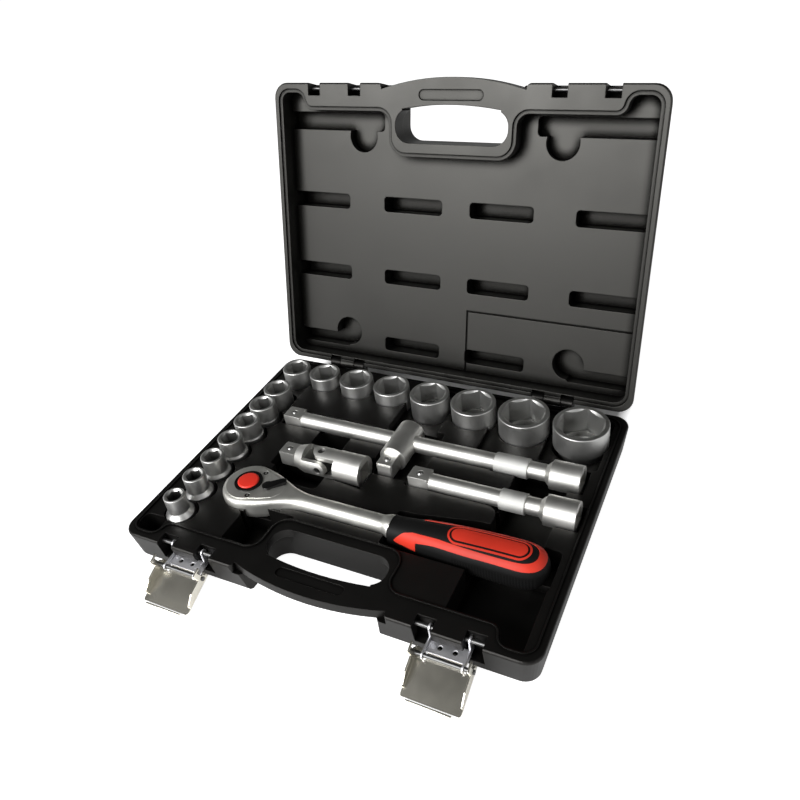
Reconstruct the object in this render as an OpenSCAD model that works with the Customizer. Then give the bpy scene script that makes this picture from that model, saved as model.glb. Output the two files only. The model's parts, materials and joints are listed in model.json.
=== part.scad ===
// Socket wrench set in a hinged moulded case: 1/2 inch drive, millimetres, +Z up.
// Origin: centre of the base's underside. +Y points to the hinge, -Y to the latches and handle.

/* [Case] */
// Width of both case halves at the rim
case_w = 316; // [310:1:330]
// Depth of both case halves at the rim, hinge to latch side
case_d = 236; // [232:1:246]
// Height of the base, underside to rim
base_h = 26; // [26:1:32]
// Height of the lid, rim to outer face
lid_h = 36; // [35:1:42]
// Radius of the four case corners in plan
corner_r = 12; // [9:1:16]
// How far the base's walls lean in from the rim to the underside
base_draft = 3; // [2:0.5:5]
// How far the lid's walls lean in from the rim to the outer face
lid_draft = 4.4; // [2:0.2:6]
// Width of the rim at the sides and the back
rim_w = 7; // [6.5:0.5:8]
// Width of the rim at the latches
latch_rim_w = 20.5; // [20:0.5:22]
// Depth of the lid's inner panel below its rim
panel_depth = 16.5; // [16.5:0.5:19]
// Thickness of the plastic left under the pockets
skin = 2; // [1.5:0.5:2]
// Angle of the open lid, counted from closed
lid_open = 105.45; // [95:0.05:110]

/* [Handle] */
// Width of the hand hole
hole_w = 92; // [86:1:98]
// Depth of the hand hole at its ends
hole_d = 25; // [23:1:26]
// Bulge of the handle bar past the rim's front edge
bar_bulge = 4; // [2:0.5:6]
// Thickness of the handle bar on the base
base_bar_t = 7; // [6:0.5:10]
// Thickness of the handle bar on the lid
lid_bar_t = 14; // [10:1:16]
// Width of the plastic between the hand hole and the well
hole_rim_w = 10; // [9:0.5:11]

/* [Hinge and latches] */
// Distance of each hinge from the middle
hinge_x = 95; // [80:1:110]
// Radius of the hinge knuckles
knuckle_r = 4; // [3.6:0.1:4.2]
// Radius of the hinge and latch pins
pin_r = 1.5; // [1.25:0.05:1.6]
// Distance of each latch from the middle
latch_x = 100.7; // [96:0.1:101]
// Width of a latch lever
lever_w = 39.5; // [37:0.5:41]
// Length of a latch lever, pin to tip
lever_len = 28; // [26:0.5:28]
// Thickness of the latch sheet metal
sheet_t = 1.2; // [1:0.1:1.4]
// Turn of a latch link from closed to hanging open
link_turn = 92.8; // [88:0.1:94]
// Turn of a latch lever on its link from closed to hanging open
lever_turn = 19.2; // [17:0.1:19.5]

/* [Tools] */
// Across flats of the square drive
drive_af = 12.7; // [12.7:0.1:12.7]
// Length of the square drive on the bars
drive_len = 16; // [14:0.5:17]
// Radius of the extension bars and the sliding bar
bar_r = 6.35; // [6.3:0.05:6.8]
// Radius of the female end of the bars
collar_r = 11; // [10.5:0.1:11.5]
// Length of the long extension bar
long_len = 250; // [240:1:252]
// Length of the short extension bar
short_len = 125; // [118:1:126]
// Height of the bar axes above the rim
bar_rise = 2; // [1:0.5:3]
// Height of a socket
socket_len = 38; // [36:1:38]
// How far the sockets stand above the rim
socket_rise = 16; // [14:0.5:16]
// Length of a small socket's thick drive end
drive_end_len = 24; // [22:0.5:25]
// Length of a large socket's hexagon end
hex_end_len = 22; // [20:0.5:24]
// Radius of the drive end of the small sockets
small_drive_r = 11; // [10.8:0.1:11.5]
// Spacing of the small sockets in their column
column_pitch = 23.15; // [22.8:0.05:23.4]
// Clear gap between neighbours in the back row
row_gap = 4.2; // [3.5:0.1:4.4]

/* [Ratchet] */
// Radius of the ratchet head
head_r = 20; // [19:0.5:21]
// Thickness of the ratchet head
head_t = 20; // [19:0.5:20]
// How far the head's top stands above the rim
head_rise = 7.5; // [6:0.5:8]
// Radius of the shank
shank_r = 6.5; // [5.5:0.1:6.5]
// Largest radius of the grip
grip_r = 15.8; // [15:0.1:16]
// How far the red band stands out of the grip
band_t = 0.4; // [0.3:0.1:0.5]
// Number of teeth on the ratchet gear
gear_teeth = 36; // [24:12:36]
// Radius of the ratchet gear over its teeth
gear_r = 11.2; // [10.8:0.1:11.5]
// Radius of the release button
button_r = 8.2; // [7.5:0.1:8.5]

/* [Hidden] */
$fn = 48;
CUT = 0.5;                      // how far a cutter runs past the face it opens
SEAT = 0.05;                    // gap under a piece that rests in the tray
RUN = 0.06;                     // radial clearance of a running fit
PLAY = 0.3;                     // side clearance between moving pieces

half_w = case_w / 2;
half_d = case_d / 2;
well_back = half_d - rim_w;
well_side = half_w - rim_w;
well_front = latch_rim_w - half_d;
corner_front = rim_w + 0.5 - half_d;
corner_in = well_side - 21;     // inner side of the wells in the front corners
bay_x = hole_w / 2 + 6;
hole_front = 18.5 - half_d;
hole_back = hole_front + hole_d;
bay_y = hole_back + hole_rim_w;

small_sizes = [10, 11, 12, 13, 14, 15, 16];
corner_size = 17;
large_sizes = [19, 21, 22, 24, 27, 30, 32];
column_x = -half_w + 29.8;
column_y = -half_d + 32.2;
back_y = half_d - 33;
row_x = column_x + 29.3;
axis_z = base_h + bar_rise;
floor_z = skin + 1;

long_y = half_d - 82.4;
short_y = half_d - 117.5;
long_x = half_w - 16.5 - long_len;
short_x = half_w - 10 - short_len;
knurl_r = 7.4;
long_knurl = 26;
long_neck = 17;
short_knurl = 19;
short_neck = 14;
collar_len = 22;
collar_room = 8;                // of its trough, before the collar

slide_x = 1;
slide_r = 11;

joint_y = half_d - 123.5;
joint_x = -half_w + 109;
yoke_r = 12;
ear_r = 6.2;                    // half the width of a yoke's ear
ear_gap = 6.6;                  // from the axis to the inner face of an ear
joint_socket_len = 36;          // from the cross to the end of the female yoke

head_x = -half_w + 69;
head_y = half_d - 166.5;
head_top = base_h + head_rise;
head_low = head_top - head_t;
shank_z = head_top - 6.5;
grip_z = shank_z - 1.5;
head_len = 30;                  // from the ratchet's axis to where its head's underside steps up
grip_x = -half_w + 189;
grip_len = 112;

latch_y = -half_d + 6.5;
latch_z = base_h - 4;
link_out = 9;
link_up = 14;
cheek_h = 3.4;                  // how far the lever's cheeks stand past its pin
tray_back = 4.5;                // how far the lever's tray runs back past its pin
link_inset = 4.8;               // between the cheeks of the lever and of the link
strike_y = 7;
strike_z = 11.5;
hinge_y = half_d + 0.5;
hinge_z = base_h + 3.2;

// ---- Sizes of each socket, from its hexagon ----

function socket_r(s) = (1.18 * s + 4.2) / 2;
function drive_r(s) = s <= 15 ? small_drive_r : s <= 24 ? socket_r(s) - 0.4 : 15 + 0.3 * (s - 27);
function socket_h(s) = s > 24 ? socket_len + 2 : socket_len;
function row_start(i) = i == 0 ? row_x
    : row_start(i - 1) + socket_r(large_sizes[i - 1]) + socket_r(large_sizes[i]) + row_gap;
function row_y(s) = back_y - 0.5 * (socket_r(s) - socket_r(large_sizes[0]));
function small_at(i) = [column_x, column_y + i * column_pitch];
function large_at(i) = [row_start(i), row_y(large_sizes[i])];
function outer_r(s) = max(socket_r(s), drive_r(s));

// ---- Shapes in plan ----

module rounded(x0, y0, x1, y1, r) {
    translate([x0 + r, y0]) square([x1 - x0 - 2 * r, y1 - y0]);
    translate([x0, y0 + r]) square([x1 - x0, y1 - y0 - 2 * r]);
    for (x = [x0 + r, x1 - r], y = [y0 + r, y1 - r]) translate([x, y]) circle(r = r);
}

// The area between a corner at (x, y) and an arc of radius r, on the side given by sx and sy
module fillet(x, y, r, sx, sy) {
    difference() {
        translate([min(x, x + sx * r), min(y, y + sy * r)]) square(r);
        translate([x + sx * r, y + sy * r]) circle(r = r);
    }
}

module well_plan(grow = 0) {
    front = well_front - grow;
    inner = corner_in - grow;
    side = well_side + grow;
    bay = bay_x - grow;
    difference() {
        union() {
            rounded(-side, front, side, well_back + grow, 9 + grow);
            for (s = [-1, 1]) {
                rounded(min(s * inner, s * side), corner_front - grow, max(s * inner, s * side),
                        front + 40, 7 + grow);
                fillet(s * inner, front, 8 - grow, -s, -1);
            }
        }
        rounded(-bay, front - 40, bay, bay_y - grow, 14 - grow);
        for (s = [-1, 1]) fillet(s * bay, front, 9 + grow, s, 1);
    }
}

module hole_plan() {
    arch = 3.2;
    half = hole_w / 2 - 6;
    arch_r = (half * half + arch * arch) / (2 * arch);
    rounded(-hole_w / 2, hole_front, hole_w / 2, hole_back, 11.5);
    intersection() {
        translate([0, hole_front - arch + arch_r]) circle(r = arch_r, $fn = 180);
        translate([-half, hole_front - arch]) square([2 * half, 2 * arch]);
    }
}

module bar_plan() {
    half = hole_w / 2 + 12;
    rise = bar_bulge + 4.5;
    out_r = (half * half + rise * rise) / (2 * rise);
    intersection() {
        translate([0, -half_d - bar_bulge + out_r]) circle(r = out_r, $fn = 180);
        translate([-half, -half_d - bar_bulge]) square([2 * half, 40]);
    }
}

// ---- Case halves ----

module slab(inset, z) {
    translate([0, 0, z])
        linear_extrude(0.01)
            rounded(-half_w + inset, -half_d + inset, half_w - inset, half_d - inset,
                    corner_r - inset / 2, $fn = 32);
}

// A half's outer form: its walls lean in and its far edges are rounded
module half_form(h, draft) {
    hull() {
        slab(draft + 3, 0);
        slab(draft + 1.1, 1);
        slab(draft, 3);
        slab(0.1, h - 1.7);
        slab(0.4, h - 0.6);
        slab(1.1, h - 0.01);
    }
}

module half_shell(h, draft, bar_t) {
    bay = hole_w / 2 + 4;
    difference() {
        half_form(h, draft);
        translate([0, 0, -CUT])
            linear_extrude(h - bar_t + CUT) {
                rounded(-bay, -half_d - 20, bay, hole_back, 11.5);
                for (s = [-1, 1]) fillet(s * bay, -half_d, 8, s, 1);
            }
        translate([0, 0, h - bar_t - CUT])
            linear_extrude(bar_t + 2 * CUT) {
                translate([-hole_w / 2 - 12, -half_d - 1]) square([hole_w + 24, 5.5]);
                for (s = [-1, 1]) fillet(s * (hole_w / 2 + 12), -half_d, 4, s, 1);
            }
    }
    translate([0, 0, h - bar_t]) linear_extrude(bar_t) bar_plan();
}

module rim_cuts(h, bar_t) {
    translate([0, 0, h - bar_t - CUT]) linear_extrude(bar_t + 2 * CUT) hole_plan();
    translate([0, 0, h - 0.8])
        linear_extrude(1.6)
            rounded(-26, -half_d + 4.6, 26, -half_d + 12.3, 3.8);
}

module hinge_lug(width, up, length) {
    rotate([90, 0, 90]) cylinder(r = knuckle_r, h = width, center = true);
    translate([-width / 2, -5.5, up > 0 ? 0 : -length]) cube([width, 5.5 + knuckle_r, length]);
}

module at_hinges() {
    for (s = [-1, 1]) translate([s * hinge_x, hinge_y, hinge_z]) children();
}

module latch_notches(inner, outer, depth, z, h) {
    for (s = [-1, 1], t = [-1, 1])
        translate([s * latch_x + min(t * inner, t * outer), -half_d - 5, z])
            cube([outer - inner, 5 + depth, h]);
}

module pocket(z0, z1) {
    translate([0, 0, z0]) linear_extrude(z1 - z0) children();
}

module socket_pockets() {
    top = base_h + 12;
    for (i = [0 : len(small_sizes) - 1]) {
        r = outer_r(small_sizes[i]) + 1;
        pocket(base_h + socket_rise - socket_len, top) {
            translate(small_at(i)) circle(r = r);
            translate(small_at(i) + [3, 0]) circle(r = r);
        }
    }
    pocket(base_h + socket_rise - socket_len, top)
        translate([column_x, back_y]) circle(r = outer_r(corner_size) + 1);
    for (i = [0 : len(large_sizes) - 1]) {
        s = large_sizes[i];
        pocket(base_h + socket_rise - socket_h(s), top)
            translate(large_at(i)) circle(r = outer_r(s) + 1);
    }
}

module bar_trough(x, y, length, knurl, neck) {
    end = x + length;
    pocket(axis_z - bar_r - SEAT, base_h + 12)
        translate([x - 3, y - bar_r - 1]) square([length, 2 * bar_r + 2]);
    pocket(axis_z - knurl_r - SEAT, base_h + 12)
        translate([end - collar_len - neck - knurl - 2, y - knurl_r - 1])
            square([knurl + neck + 4, 2 * knurl_r + 2]);
    pocket(axis_z - collar_r - SEAT, base_h + 12)
        translate([end - collar_len - collar_room, y - collar_r - 1])
            square([collar_len + collar_room + 3, 2 * collar_r + 2]);
}

module ratchet_pocket() {
    pocket(head_low - SEAT, base_h + CUT) translate([head_x, head_y]) intersection() {
        head_plan(head_r + 1.5);
        translate([-2 * head_r, -2 * head_r]) square([2 * head_r + head_len + 1, 4 * head_r]);
    }
    pocket(shank_z - shank_r - 1, base_h + CUT) translate([head_x, head_y]) head_plan(head_r + 1.5);
    pocket(skin, base_h + CUT) translate([head_x, head_y]) circle(r = 10.5);
    pocket(shank_z - shank_r - 1, base_h + CUT)
        translate([head_x, head_y - shank_r - 1.6]) square([grip_x - head_x, 2 * shank_r + 3.2]);
    pocket(shank_z - 5, base_h + CUT)
        translate([head_x, head_y - 13]) square([34, 26]);
    pocket(grip_z - grip_r - SEAT, base_h + CUT) {
        rounded(grip_x - 3, head_y - grip_r - 1.5, half_w - 11, head_y + grip_r + 1.5, 4);
        translate([grip_x, head_y]) polygon([[0, grip_r], [grip_len / 2, grip_r + 9.7],
            [grip_len - 12, grip_r + 9.7], [grip_len - 12, grip_r]]);
    }
}

// A flared pocket with a deeper seat under the ears, which swing down as the joint bends
module joint_pocket() {
    swing = sqrt(pow(ear_r, 2) + pow(yoke_r, 2));
    end = joint_socket_len + 4;
    pocket(axis_z - yoke_r - SEAT, base_h + CUT) {
        rounded(joint_x - 43, joint_y - yoke_r - 1, joint_x + end, joint_y + yoke_r + 2, 3);
        translate([joint_x, joint_y])
            polygon([[0, yoke_r + 1.5], [end, yoke_r + 6.6], [end, -yoke_r - 4.6], [0, -yoke_r - 0.5]]);
    }
    pocket(axis_z - swing - PLAY, base_h + CUT)
        rounded(joint_x - 11, joint_y - ear_r - 2, joint_x + 11, joint_y + ear_r + 2, 2);
}

module slide_pocket() {
    pocket(axis_z - slide_r - 2, base_h + 12)
        rounded(slide_x - slide_r - 4, long_y - 39, slide_x + slide_r + 16, long_y + 19, 3);
}

// Deep wells that let fingers reach the tools, cut to the rim's outline
module finger_wells() {
    pocket(floor_z, base_h + CUT)
        intersection() {
            well_plan();
            union() {
                rounded(head_x + 8, well_front - 2, -40, head_y - 14, 3);
                fillet(head_x + 8, head_y - head_r - 2, 5, -1, -1);
                rounded(half_w - 66, -half_d, half_w - 12, head_y, 3);
                rounded(-half_w + 7, -half_d, -corner_in - 1, well_front + 2, 5);
                rounded(half_w - 64, head_y, half_w - 24, long_y - collar_r + 22, 3);
                fillet(half_w - 64, short_y - bar_r - 1, 9, -1, -1);
                rounded(joint_x - 24, long_y - 24, joint_x + 5, long_y - 3, 3);
                rounded(joint_x - 38, joint_y - 28, joint_x + 8, joint_y, 4);
            }
        }
}

module tray_steps() {
    pocket(base_h - 4, base_h + 12) rounded(-18, long_y + 8, 21, well_back - 2, 3);
    pocket(base_h - 2, base_h + 12) rounded(57, long_y + 8, 104, well_back - 2, 3);
    pocket(base_h - 6, base_h + 12) rounded(103, long_y + 14, well_side - 3, well_back - 2, 3);
}

module tray_pads() {
    difference() {
        union() {
            pocket(base_h - 1, base_h + 5) rounded(-112, long_y + 7, -14, well_back - 3, 4);
            pocket(base_h - 1, base_h + 2) rounded(16, long_y + 7, 62, well_back - 3, 4);
        }
        tray_steps();
    }
}

module case_base() {
    color([0.05, 0.05, 0.055])
        difference() {
            union() {
                difference() {
                    half_shell(base_h, base_draft, base_bar_t);
                    tray_steps();
                    at_hinges() translate([-7.2, -6.5, base_h - 1.5 - hinge_z])
                        cube([14.4, 12, 10]);
                }
                tray_pads();
                pocket(base_h - CUT, base_h + 1)
                    difference() {
                        well_plan(2.2);
                        well_plan(1);
                    }
                at_hinges() for (s = [-1, 1]) translate([s * 12, 0, 0]) hinge_lug(9.4, -1, 10);
            }
            rim_cuts(base_h, base_bar_t);
            socket_pockets();
            bar_trough(long_x, long_y, long_len, long_knurl, long_neck);
            bar_trough(short_x, short_y, short_len, short_knurl, short_neck);
            ratchet_pocket();
            joint_pocket();
            slide_pocket();
            finger_wells();
            latch_notches(10, 23, 10, base_h - 17, 20);
            for (s = [-1, 1]) {
                translate([s * latch_x - 23, -half_d - 5, base_h - 17]) cube([46, 11, 8]);
                translate([s * latch_x, latch_y, latch_z]) rotate([0, 90, 0])
                    cylinder(r = pin_r, h = 54, center = true);
            }
            at_hinges() rotate([0, 90, 0]) cylinder(r = pin_r, h = 50, center = true);
        }
}

module lid_slots() {
    rows = [142.3, 81, 20];
    slot_h = 12.3;
    for (s = [-1, 1], i = [0 : 2]) {
        y = half_d - rows[i];
        rounded(min(s * 12, s * 64.5), y - slot_h / 2, max(s * 12, s * 64.5), y + slot_h / 2, 3);
        if (i < 2)
            rounded(min(s * 97.5, s * (well_side + 6)), y - slot_h / 2,
                    max(s * 97.5, s * (well_side + 6)), y + slot_h / 2, 3);
    }
}

module lid_recesses() {
    for (s = [-1, 1]) {
        rounded(min(s * 63.5, s * (well_side + 6)), well_front + 2, max(s * 63.5, s * (well_side + 6)),
                well_front + 16, 3);
        translate([s * 83, well_front + 20]) circle(r = 12.6);
    }
}

module lid_rounds() {
    for (s = [-1, 1]) {
        translate([s * 101.3, half_d - 26.5]) circle(r = 12.8);
        rounded(min(s * 101, s * (well_side + 6)), half_d - 24, max(s * 101, s * (well_side + 6)),
                half_d - 12, 2);
    }
}

// The lid as it lies closed, rim down on the base
module lid_closed() {
    top = lid_h - 3;
    difference() {
        union() {
            translate([0, 0, lid_h]) mirror([0, 0, 1])
                difference() {
                    half_shell(lid_h, lid_draft, lid_bar_t);
                    rim_cuts(lid_h, lid_bar_t);
                }
        }
        pocket(-CUT, panel_depth) well_plan();
        pocket(-CUT, 1.4) well_plan(2.9);
        pocket(panel_depth - CUT, top) intersection() {
            well_plan();
            lid_slots();
        }
        pocket(panel_depth - CUT, panel_depth + 9) intersection() {
            well_plan();
            lid_recesses();
        }
        pocket(panel_depth - CUT, panel_depth + 13) intersection() {
            well_plan();
            lid_rounds();
        }
        pocket(panel_depth - CUT, panel_depth + 1) {
            translate([13, half_d - 60.5]) square([well_side - 13, 1.5]);
            translate([12.5, half_d - 60.5]) square([1.5, 53.5]);
        }
        latch_notches(13, 24, 9.5, -2, 16);
        for (s = [-1, 1]) translate([s * latch_x, latch_y - 9 + strike_y, -4 + strike_z])
            rotate([0, 90, 0]) cylinder(r = pin_r, h = 54, center = true);
        for (s = [-1, 1], t = [-1, 1]) translate([s * hinge_x + t * 12 - 5.3, half_d - 6.2, -CUT])
            cube([10.6, 12, 9]);
    }
}

module case_lid() {
    color([0.2, 0.19, 0.185])
        difference() {
            opened() {
                translate([0, 0, base_h + SEAT]) lid_closed();
                at_hinges() hinge_lug(13.6, 1, 11);
            }
            at_hinges() rotate([0, 90, 0]) cylinder(r = pin_r + RUN, h = 20, center = true);
        }
}

// Turns what is drawn closed to where it stands with the lid open
module opened() {
    translate([0, hinge_y, hinge_z]) rotate([-lid_open, 0, 0]) translate([0, -hinge_y, -hinge_z])
        children();
}

// ---- Hinges and latches ----

module hinge_pin(side) {
    color([0.8, 0.8, 0.82])
        translate([side * hinge_x, hinge_y, hinge_z]) rotate([0, 90, 0])
            cylinder(r = pin_r, h = 34, center = true);
}

module hinge_pin_left() { hinge_pin(-1); }
module hinge_pin_right() { hinge_pin(1); }

// A plate standing across X, drawn in the plane of Y and Z
module cheek(x, t) {
    translate([x, 0, 0]) rotate([90, 0, 90]) linear_extrude(t) children();
}

module at_link(side) {
    translate([side * latch_x, latch_y, latch_z]) rotate([link_turn, 0, 0]) children();
}

module at_lever(side) {
    at_link(side) translate([0, -link_out, link_up]) rotate([lever_turn, 0, 0]) children();
}

module link_cheek() {
    eye = 2.7;
    difference() {
        union() {
            circle(r = eye);
            rounded(-link_out - eye, -eye, 0, eye, 2.2);
            translate([-link_out - eye, 0]) square([2 * eye, link_up]);
            translate([-link_out, link_up]) circle(r = eye);
        }
        circle(r = pin_r + RUN);
        translate([-link_out, link_up]) circle(r = pin_r + RUN);
    }
}

module latch_link(side) {
    half = lever_w / 2 - sheet_t - link_inset;
    color([0.85, 0.86, 0.88])
        at_link(side) {
            cheek(-half, sheet_t) link_cheek();
            cheek(half - sheet_t, sheet_t) link_cheek();
            difference() {
                translate([-half, -link_out - sheet_t / 2, 1.5]) cube([2 * half, sheet_t, link_up - 4]);
                for (x = [-5, 5]) translate([x, -link_out, 6.5]) rotate([90, 0, 0])
                    cylinder(r = 1.7, h = 4, center = true);
            }
        }
}

module latch_link_left() { latch_link(-1); }
module latch_link_right() { latch_link(1); }

module lever_cheek() {
    strike = [strike_y, strike_z - link_up];
    difference() {
        union() {
            circle(r = 3);
            translate([-4.2, -tray_back]) square([3.6, tray_back + 0.5]);
            translate([-4.2, 0]) square([4.2, lever_len - 7]);
            polygon([[0, 0], [cheek_h, 3], [cheek_h, lever_len - 15], [0, lever_len - 8]]);
            translate([0, -1]) square([10.3, 4]);
            translate([8.6, -4]) square([1.7, 4]);
        }
        circle(r = pin_r);
        translate(strike) circle(r = pin_r + RUN);
        translate(strike) rotate(-19.65) translate([-pin_r - RUN, -8]) square([2 * (pin_r + RUN), 8]);
    }
}

module latch_lever(side) {
    half = lever_w / 2;
    color([0.85, 0.86, 0.88])
        at_lever(side) {
            cheek(-half, sheet_t) lever_cheek();
            cheek(half - sheet_t, sheet_t) lever_cheek();
            translate([0, -3, 0]) rotate([90, 0, 0]) linear_extrude(sheet_t) {
                difference() {
                    translate([-half, -tray_back]) square([lever_w, tray_back + 10.5]);
                    for (x = [-1, 1])
                        translate([x * (half - 1.5 * sheet_t - link_inset) - sheet_t / 2 - 1, -tray_back - CUT])
                            square([sheet_t + 2, tray_back + 3]);
                }
                rounded(-half, 2, half, lever_len, 4.5);
            }
            translate([-half + 5, -3.2, lever_len - sheet_t]) cube([lever_w - 10, 2.6, sheet_t]);
        }
}

module latch_lever_left() { latch_lever(-1); }
module latch_lever_right() { latch_lever(1); }

module cross_pin(h) {
    color([0.75, 0.76, 0.78]) rotate([0, 90, 0]) cylinder(r = pin_r, h = h, center = true);
}

module link_pin_left() { at_link(-1) cross_pin(54); }
module link_pin_right() { at_link(1) cross_pin(54); }
module lever_pin_left() { at_lever(-1) cross_pin(lever_w + 1.6); }
module lever_pin_right() { at_lever(1) cross_pin(lever_w + 1.6); }

module strike_pin(side) {
    opened() translate([side * latch_x, latch_y - link_out + strike_y, latch_z + strike_z])
        cross_pin(54);
}

module strike_pin_left() { strike_pin(-1); }
module strike_pin_right() { strike_pin(1); }

// ---- Sockets ----

module socket_body(s) {
    r = socket_r(s);
    d = drive_r(s);
    h = socket_h(s);
    neck = d > r ? drive_end_len - (d - r) : h - hex_end_len;
    wide = d > r ? drive_end_len : h - hex_end_len + 0.6 * (r - d) + 0.4;
    hex_depth = 0.45 * s + 6;
    color([0.78, 0.79, 0.81])
        translate([0, 0, base_h + socket_rise - h])
            difference() {
                rotate_extrude($fn = 64)
                    polygon([[0, 0], [d - 0.8, 0], [d, 0.8], [d, neck], [r, wide], [r, h - 0.8],
                             [r - 0.8, h], [0, h]]);
                translate([0, 0, h - hex_depth]) rotate(30)
                    cylinder(r = s / sqrt(3) + 0.05, h = hex_depth + 1, $fn = 6);
                translate([0, 0, h - 1.6])
                    cylinder(r1 = s / 2, r2 = s / 2 + 1.9, h = 1.9);
                translate([0, 0, 15.5]) cylinder(r = s / 2 - 0.8, h = h - hex_depth - 15);
                translate([-drive_af / 2 - 0.05, -drive_af / 2 - 0.05, -1])
                    cube([drive_af + 0.1, drive_af + 0.1, 17]);
            }
}

module small_socket(i) { translate(small_at(i)) socket_body(small_sizes[i]); }
module large_socket(i) { translate(large_at(i)) socket_body(large_sizes[i]); }

module socket_10() { small_socket(0); }
module socket_11() { small_socket(1); }
module socket_12() { small_socket(2); }
module socket_13() { small_socket(3); }
module socket_14() { small_socket(4); }
module socket_15() { small_socket(5); }
module socket_16() { small_socket(6); }
module socket_17() { translate([column_x, back_y]) socket_body(corner_size); }
module socket_19() { large_socket(0); }
module socket_21() { large_socket(1); }
module socket_22() { large_socket(2); }
module socket_24() { large_socket(3); }
module socket_27() { large_socket(4); }
module socket_30() { large_socket(5); }
module socket_32() { large_socket(6); }

// ---- Bars ----

// A square drive along +X from x = 0, with a seat for its ball in the upper face
module drive_square(length) {
    half = drive_af / 2;
    translate([0, -half, -half]) cube([length - 1, drive_af, drive_af]);
    translate([length - 1, -half + 0.7, -half + 0.7])
        cube([1, drive_af - 1.4, drive_af - 1.4]);
}

module drive_socket(depth) {
    half = drive_af / 2 + 0.05;
    translate([-depth, -half, -half]) cube([depth + 1, 2 * half, 2 * half]);
}

// A bar along +X: square drive, bar, knurled grip, neck and collar
module extension(length, knurl, neck) {
    turn = [0, 90, 0];
    k0 = length - collar_len - neck - knurl;
    c0 = length - collar_len;
    difference() {
        union() {
            translate([drive_len, 0, 0]) mirror([1, 0, 0]) drive_square(drive_len);
            translate([drive_len, 0, 0]) rotate(turn) cylinder(r = bar_r, h = length - drive_len - 4);
            translate([k0, 0, 0]) rotate(turn) cylinder(r = knurl_r, h = knurl);
            translate([c0 - 4, 0, 0]) rotate(turn) cylinder(r1 = bar_r, r2 = collar_r - 0.8, h = 4);
            translate([c0, 0, 0]) rotate(turn) cylinder(r = collar_r, h = collar_len);
        }
        translate([length, 0, 0]) drive_socket(16);
        translate([drive_len / 2, 0, drive_af / 2 - 3]) cylinder(r = 2.6, h = 4);
    }
}

module detent_ball() {
    rotate_extrude() intersection() {
        circle(r = 2.6);
        translate([0, -1]) square([2.6, 4]);
    }
}

module at_long() { translate([long_x, long_y, axis_z]) children(); }
module at_short() { translate([short_x, short_y, axis_z]) children(); }

module long_extension() { color([0.8, 0.81, 0.83]) at_long() extension(long_len, long_knurl, long_neck); }
module short_extension() {
    color([0.8, 0.81, 0.83]) at_short() extension(short_len, short_knurl, short_neck);
}

module bar_ball() {
    color([0.7, 0.71, 0.73])
        translate([drive_len / 2, 0, drive_af / 2 - 3]) cylinder(r = 2.6, h = 2.4);
    color([0.7, 0.71, 0.73]) translate([drive_len / 2, 0, drive_af / 2 - 0.6])
        cylinder(r1 = 2.6, r2 = 1.4, h = 1.2);
}

module long_extension_ball() { at_long() bar_ball(); }
module short_extension_ball() { at_short() bar_ball(); }

// The head that slides along the long bar, its square towards the latches
module slide_head() {
    color([0.8, 0.81, 0.83])
        translate([slide_x, long_y, axis_z])
            difference() {
                union() {
                    translate([0, 14, 0]) rotate([90, 0, 0]) cylinder(r = slide_r, h = 35.5);
                    translate([0, 17, 0]) rotate([90, 0, 0]) cylinder(r = 6.2, h = 4);
                    translate([0, -21, 0]) rotate([0, 0, -90]) drive_square(15.5);
                }
                rotate([0, 90, 0]) cylinder(r = bar_r + RUN, h = 40, center = true);
                translate([0, 18, 0]) rotate([90, 0, 0]) cylinder(r = 3.2, h = 8);
                translate([0, -29, drive_af / 2 - 3]) cylinder(r = 2.6, h = 4);
            }
}

module slide_head_ball() {
    translate([slide_x + drive_len / 2, long_y - 29, axis_z]) translate([-drive_len, 0, 0]) bar_ball();
}

// The plug that holds the sliding head's spring and ball against the bar
module slide_detent() {
    color([0.6, 0.6, 0.62])
        translate([slide_x, long_y, axis_z])
            difference() {
                translate([0, 17.4, 0]) rotate([90, 0, 0]) cylinder(r = 3.2, h = 7.4);
                translate([-2.6, 16.6, -0.4]) cube([5.2, 2, 0.8]);
            }
}

// ---- Universal joint ----

// Two ears of a yoke: a tube's end cut away to a fork, its pin along Y
module yoke_fork(r, gap, reach) {
    intersection() {
        rotate([0, 90, 0]) cylinder(r = r, h = 80, center = true);
        difference() {
            rotate([90, 0, 0]) linear_extrude(2 * r, center = true) {
                circle(r = reach);
                translate([-14, -reach]) square([14, 2 * reach]);
            }
            translate([-13.8, -gap, -r]) cube([33, 2 * gap, 2 * r]);
            rotate([90, 0, 0]) cylinder(r = 3 + RUN, h = 3 * r, center = true);
        }
    }
}

module at_joint() { translate([joint_x, joint_y, axis_z]) children(); }

module joint_drive_yoke() {
    color([0.82, 0.83, 0.85])
        at_joint() difference() {
            union() {
                yoke_fork(yoke_r - 0.5, ear_gap, ear_r);
                translate([-22, 0, 0]) rotate([0, 90, 0])
                    cylinder(r1 = yoke_r - 3, r2 = yoke_r - 0.5, h = 8);
                translate([-22, 0, 0]) mirror([1, 0, 0]) drive_square(15);
            }
            translate([-30, 0, drive_af / 2 - 3]) cylinder(r = 2.6, h = 4);
        }
}

module joint_socket_yoke() {
    color([0.82, 0.83, 0.85])
        at_joint() difference() {
            union() {
                rotate([90, 0, 0]) mirror([1, 0, 0]) yoke_fork(yoke_r, ear_gap, ear_r);
                translate([14, 0, 0]) rotate([0, 90, 0]) cylinder(r = yoke_r, h = joint_socket_len - 14);
            }
            translate([joint_socket_len, 0, 0]) drive_socket(15);
        }
}

module joint_cross() {
    color([0.55, 0.56, 0.58])
        at_joint() {
            cube([9.6, 12.4, 12.4], center = true);
            rotate([90, 0, 0]) cylinder(r = 3, h = 2 * yoke_r - 3.4, center = true);
            cylinder(r = 3, h = 2 * yoke_r - 3.4, center = true);
        }
}

module joint_ball() { translate([joint_x - 38, joint_y, axis_z]) bar_ball(); }

// ---- Ratchet ----

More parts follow.
